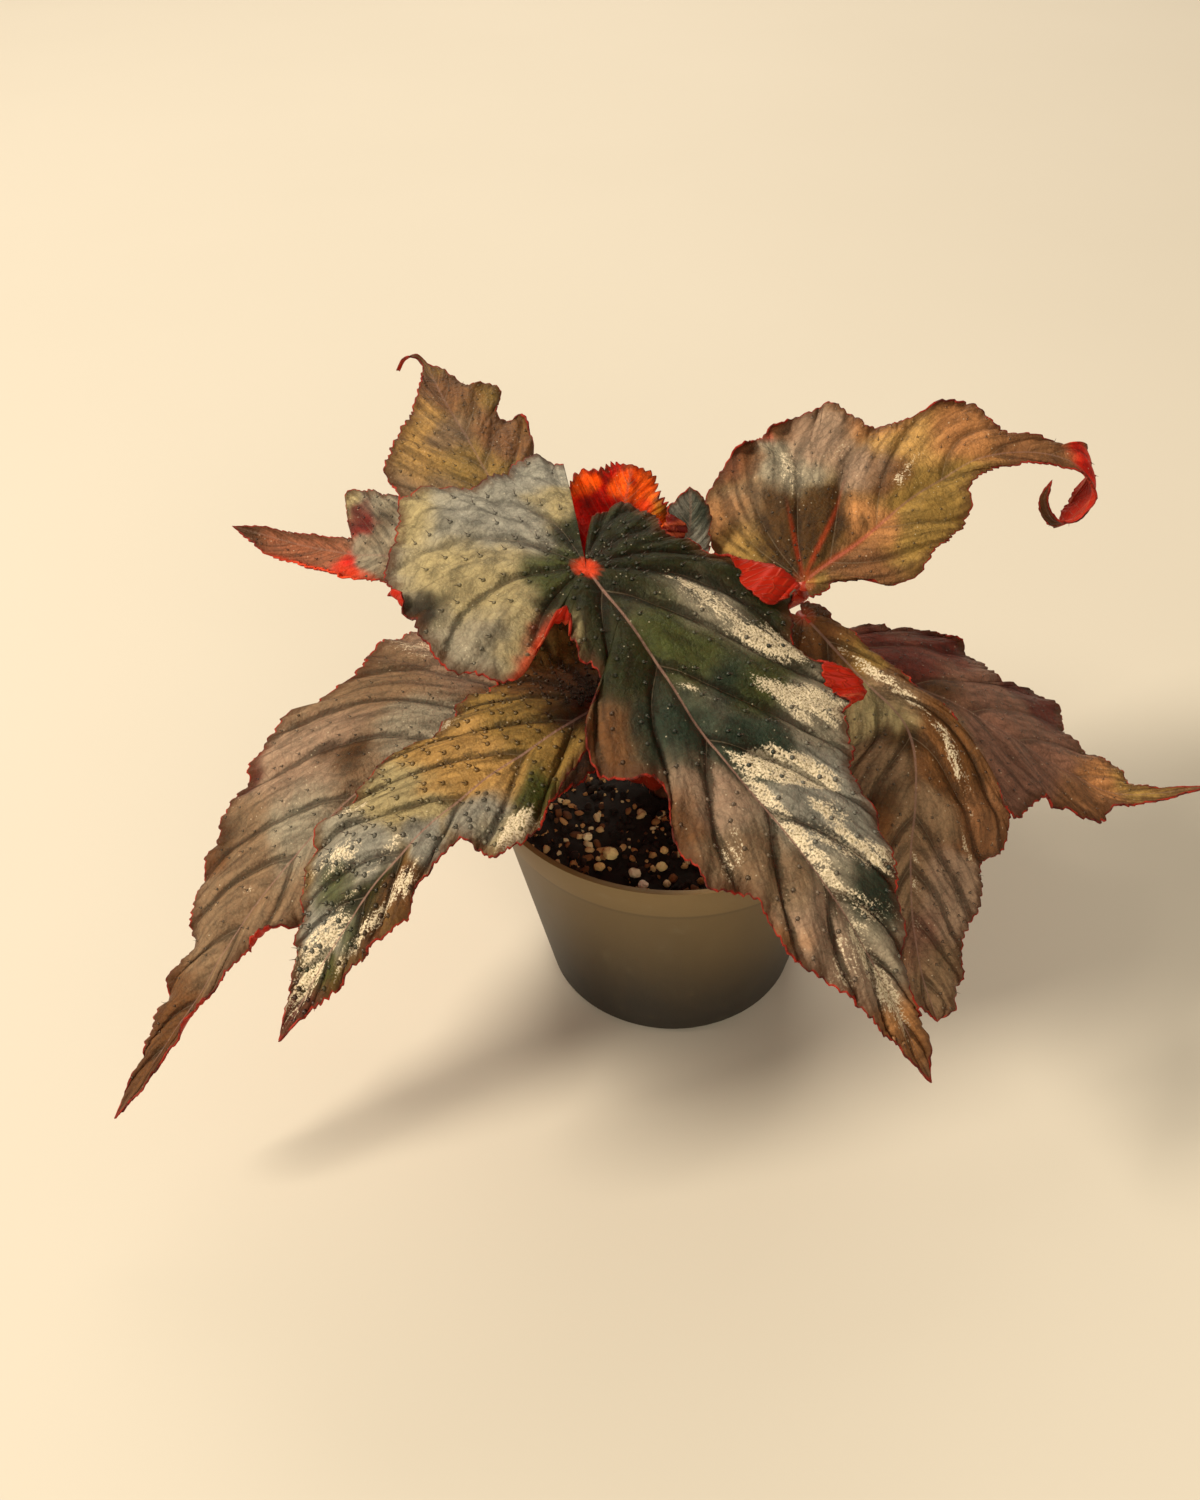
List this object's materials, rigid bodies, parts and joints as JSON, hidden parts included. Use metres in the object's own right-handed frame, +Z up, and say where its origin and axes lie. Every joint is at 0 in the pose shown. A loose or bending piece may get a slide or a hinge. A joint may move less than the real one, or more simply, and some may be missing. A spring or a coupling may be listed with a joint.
{
  "type": "potted begonia",
  "caption": "Begonia with long pointed bronze and pewter leaves on red stalks, growing from a crown in a round tapered nursery pot of potting mix.",
  "frame": {"origin": "middle of the pot's underside, on the surface that it stands on", "axes": "+Z up; -Y towards the side where the big front leaf hangs over the pot; +X to the right seen from there"},
  "size_m": [0.2893, 0.1894, 0.1514],
  "materials": {
    "pot_plastic": "smooth matte grey-olive nursery plastic",
    "potting_mix": "damp dark peat and bark",
    "perlite": "rough porous grain",
    "crown_skin": "scarred brown crown with papery scales",
    "stalk_skin": "translucent red stalk with short hairs",
    "leaf_skin": "satin bristly leaf, pewter between green veins, bronze at the edge, crimson below",
    "young_leaf_skin": "satin young leaf, crimson and orange below"
  },
  "bodies": {
    "root": {"crown": "crown_skin", "leaf_back_left": "leaf_skin", "leaf_back_right": "leaf_skin", "leaf_bud": "stalk_skin", "leaf_far_left": "leaf_skin", "leaf_front": "leaf_skin", "leaf_front_left": "leaf_skin", "leaf_front_right": "leaf_skin", "leaf_left": "leaf_skin", "leaf_right": "leaf_skin", "leaf_young_curled": "young_leaf_skin", "leaf_young_upright": "young_leaf_skin", "nursery_pot": "pot_plastic", "perlite_grain_1": "perlite", "perlite_grain_10": "perlite", "perlite_grain_11": "perlite", "perlite_grain_12": "perlite", "perlite_grain_2": "perlite", "perlite_grain_3": "perlite", "perlite_grain_4": "perlite", "perlite_grain_5": "perlite", "perlite_grain_6": "perlite", "perlite_grain_7": "perlite", "perlite_grain_8": "perlite", "perlite_grain_9": "perlite", "potting_soil": "potting_mix", "stalk_back_left": "stalk_skin", "stalk_back_right": "stalk_skin", "stalk_far_left": "stalk_skin", "stalk_front": "stalk_skin", "stalk_front_left": "stalk_skin", "stalk_front_right": "stalk_skin", "stalk_left": "stalk_skin", "stalk_right": "stalk_skin", "stalk_young_curled": "stalk_skin", "stalk_young_upright": "stalk_skin", "stipule_1": "crown_skin", "stipule_2": "crown_skin", "stipule_3": "crown_skin"}
  },
  "joints": []
}
